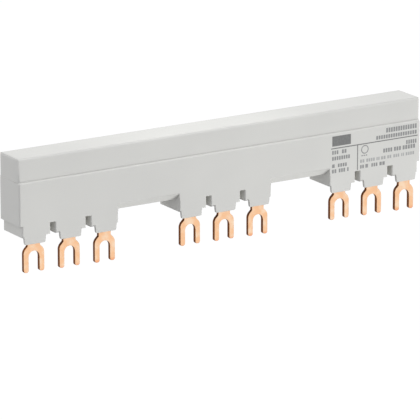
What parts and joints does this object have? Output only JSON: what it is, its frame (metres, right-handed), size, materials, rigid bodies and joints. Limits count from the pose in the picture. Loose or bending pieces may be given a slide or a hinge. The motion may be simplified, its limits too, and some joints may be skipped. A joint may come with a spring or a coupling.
{
  "type": "comb busbar",
  "caption": "Straight comb busbar: an insulated grey beam with short sleeves and tongues underneath, and copper forks that hang from them in groups.",
  "frame": {"origin": "centre of the middle fork's slot, halfway through the copper", "axes": "+X along the beam, +Y from the front with the forks and tongues to the back, +Z from the forks up to the cap"},
  "size_m": [0.1664, 0.0137, 0.0414],
  "materials": {
    "housing_plastic": "fine matt moulding",
    "separator_plastic": "plain extruded strip",
    "copper": "bare stamped copper"
  },
  "bodies": {
    "root": {"housing_body": "housing_plastic", "housing_cap": "housing_plastic", "busbar_l1": "copper", "busbar_l2": "copper", "busbar_l3": "copper", "separator_front": "separator_plastic", "separator_rear": "separator_plastic"}
  },
  "joints": []
}
